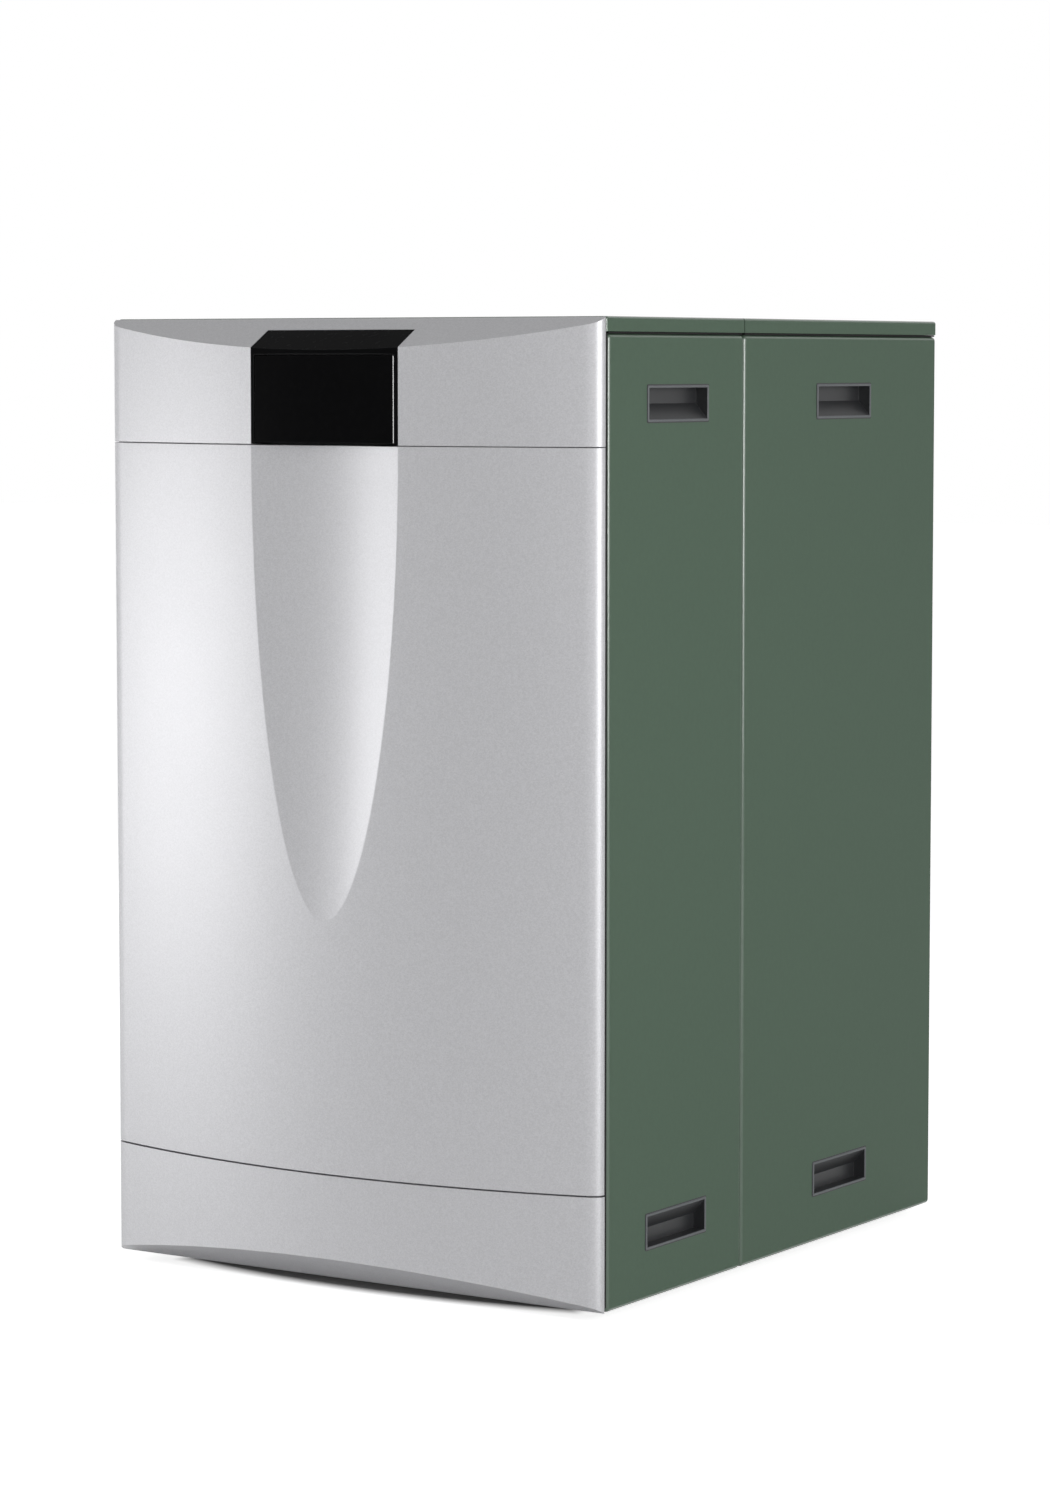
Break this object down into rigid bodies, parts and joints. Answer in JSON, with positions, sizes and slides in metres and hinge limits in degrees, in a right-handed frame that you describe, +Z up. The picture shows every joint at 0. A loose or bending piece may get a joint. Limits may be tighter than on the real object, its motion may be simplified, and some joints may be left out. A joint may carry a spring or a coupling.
{
  "type": "condensing boiler",
  "caption": "Floor-standing condensing boiler in a bowed silver front with a black console and scooped door, green sheet-steel sides with pocket handles, and rear pipe connections.",
  "frame": {"origin": "middle of the footprint at floor level, on the bounding box", "axes": "+Z up, front faces -Y, right-hand side faces +X"},
  "size_m": [0.6124, 0.8016, 1.01],
  "materials": {
    "silver": "fine metallic paint",
    "green": "satin paint",
    "handle_plastic": "fine grain",
    "console_black": "satin gloss",
    "fascia_grey": "fine grain",
    "display_glass": "clear",
    "key_plastic": "satin",
    "frame_black": "satin powder coat",
    "zinc_sheet": "zinc coated",
    "module_plastic": "moulded",
    "stainless": "brushed",
    "felt": "felt",
    "cast_aluminium": "as cast",
    "ceramic": "glazed",
    "motor_black": "satin",
    "duct_plastic": "smooth",
    "pipe_steel": "plain",
    "brass": "machined",
    "lever_yellow": "gloss paint",
    "lever_red": "gloss paint",
    "impeller_plastic": "plain",
    "lead_rubber": "silicone"
  },
  "bodies": {
    "cabinet": {"base_frame": "frame_black", "portal_frames": "frame_black", "rear_panel": "zinc_sheet", "upper_front_panel": "silver", "door_studs": "pipe_steel", "console_bezel": "console_black", "control_fascia": "fascia_grey", "display_window": "display_glass", "control_module": "module_plastic", "heat_exchanger": "stainless", "insulation_jacket": "felt", "condensate_sump": "stainless", "burner_plate": "cast_aluminium", "burner_nuts": "zinc_sheet", "burner_tube": "stainless", "burner_electrodes": "ceramic", "fan_housing": "cast_aluminium", "fan_motor": "motor_black", "gas_air_mixer": "cast_aluminium", "air_duct": "duct_plastic", "gas_valve": "cast_aluminium", "gas_pipe": "pipe_steel", "gas_cock_body": "brass", "drain_valve_body": "brass", "flue_pipe": "duct_plastic", "condensate_trap": "module_plastic", "condensate_drain": "duct_plastic", "air_vent": "brass", "temperature_sensors": "zinc_sheet", "ignition_transformer": "module_plastic", "ignition_lead": "lead_rubber", "supply_pipe": "pipe_steel", "return_pipe": "pipe_steel"},
    "door": {"front_door_panel": "silver"},
    "lower_panel": {"lower_front_panel": "silver"},
    "front_lid": {"front_lid": "green"},
    "rear_lid": {"rear_lid": "green"},
    "right_front_cover": {"right_front_side": "green", "right_front_handles": "handle_plastic"},
    "right_rear_cover": {"right_rear_side": "green", "right_rear_handles": "handle_plastic"},
    "left_front_cover": {"left_front_side": "green", "left_front_handles": "handle_plastic"},
    "left_rear_cover": {"left_rear_side": "green", "left_rear_handles": "handle_plastic"},
    "flap": {"display_flap": "console_black"},
    "key_up": {"key_up": "key_plastic"},
    "key_enter": {"key_enter": "key_plastic"},
    "key_down": {"key_down": "key_plastic"},
    "rocker": {"power_rocker": "key_plastic"},
    "impeller": {"fan_impeller": "impeller_plastic"},
    "gas_lever": {"gas_cock_lever": "lever_yellow"},
    "drain_lever": {"drain_valve_lever": "lever_red"},
    "foot_front_left": {"foot_front_left": "pipe_steel"},
    "foot_front_right": {"foot_front_right": "pipe_steel"},
    "foot_rear_left": {"foot_rear_left": "pipe_steel"},
    "foot_rear_right": {"foot_rear_right": "pipe_steel"}
  },
  "joints": [
    {"name": "door_pull", "type": "slide", "parent": "cabinet", "child": "door", "axis": [0, -1, 0], "range_m": [0, 0.15]},
    {"name": "lower_panel_pull", "type": "slide", "parent": "cabinet", "child": "lower_panel", "axis": [0, -1, 0], "range_m": [0, 0.12]},
    {"name": "front_lid_lift", "type": "slide", "parent": "cabinet", "child": "front_lid", "axis": [0, 0, 1], "range_m": [0, 0.1]},
    {"name": "rear_lid_lift", "type": "slide", "parent": "cabinet", "child": "rear_lid", "axis": [0, 0, 1], "range_m": [0, 0.1]},
    {"name": "right_front_cover_pull", "type": "slide", "parent": "cabinet", "child": "right_front_cover", "axis": [1, 0, 0], "range_m": [0, 0.15]},
    {"name": "right_rear_cover_pull", "type": "slide", "parent": "cabinet", "child": "right_rear_cover", "axis": [1, 0, 0], "range_m": [0, 0.15]},
    {"name": "left_front_cover_pull", "type": "slide", "parent": "cabinet", "child": "left_front_cover", "axis": [-1, 0, 0], "range_m": [0, 0.15]},
    {"name": "left_rear_cover_pull", "type": "slide", "parent": "cabinet", "child": "left_rear_cover", "axis": [-1, 0, 0], "range_m": [0, 0.15]},
    {"name": "flap_lift", "type": "hinge", "parent": "cabinet", "child": "flap", "pos_m": [0, -0.39125, 0.966], "axis": [-1, 0, 0], "range_deg": [0, 65]},
    {"name": "key_up_press", "type": "slide", "parent": "cabinet", "child": "key_up", "axis": [0, 1, 0], "range_m": [0, 0.002], "stiffness_N_per_m": 500},
    {"name": "key_enter_press", "type": "slide", "parent": "cabinet", "child": "key_enter", "axis": [0, 1, 0], "range_m": [0, 0.002], "stiffness_N_per_m": 500},
    {"name": "key_down_press", "type": "slide", "parent": "cabinet", "child": "key_down", "axis": [0, 1, 0], "range_m": [0, 0.002], "stiffness_N_per_m": 500},
    {"name": "rocker_tip", "type": "hinge", "parent": "cabinet", "child": "rocker", "pos_m": [0.058, -0.37275, 0.93673], "axis": [1, 0, 0], "range_deg": [0, 16]},
    {"name": "impeller_spin", "type": "hinge", "parent": "cabinet", "child": "impeller", "pos_m": [0, -0.01125, 0.822], "axis": [1, 0, 0], "continuous": true},
    {"name": "gas_lever_turn", "type": "hinge", "parent": "cabinet", "child": "gas_lever", "pos_m": [-0.238, 0.15325, 0.746], "axis": [0, 0, -1], "range_deg": [0, 90]},
    {"name": "drain_lever_turn", "type": "hinge", "parent": "cabinet", "child": "drain_lever", "pos_m": [-0.1, -0.17417, 0.187], "axis": [0, 0, 1], "range_deg": [0, 90]},
    {"name": "foot_front_left_turn", "type": "hinge", "parent": "cabinet", "child": "foot_front_left", "pos_m": [-0.225, -0.26925, 0], "axis": [0, 0, 1], "continuous": true},
    {"name": "foot_front_right_turn", "type": "hinge", "parent": "cabinet", "child": "foot_front_right", "pos_m": [0.225, -0.26925, 0], "axis": [0, 0, 1], "continuous": true},
    {"name": "foot_rear_left_turn", "type": "hinge", "parent": "cabinet", "child": "foot_rear_left", "pos_m": [-0.225, 0.28575, 0], "axis": [0, 0, 1], "continuous": true},
    {"name": "foot_rear_right_turn", "type": "hinge", "parent": "cabinet", "child": "foot_rear_right", "pos_m": [0.225, 0.28575, 0], "axis": [0, 0, 1], "continuous": true}
  ]
}
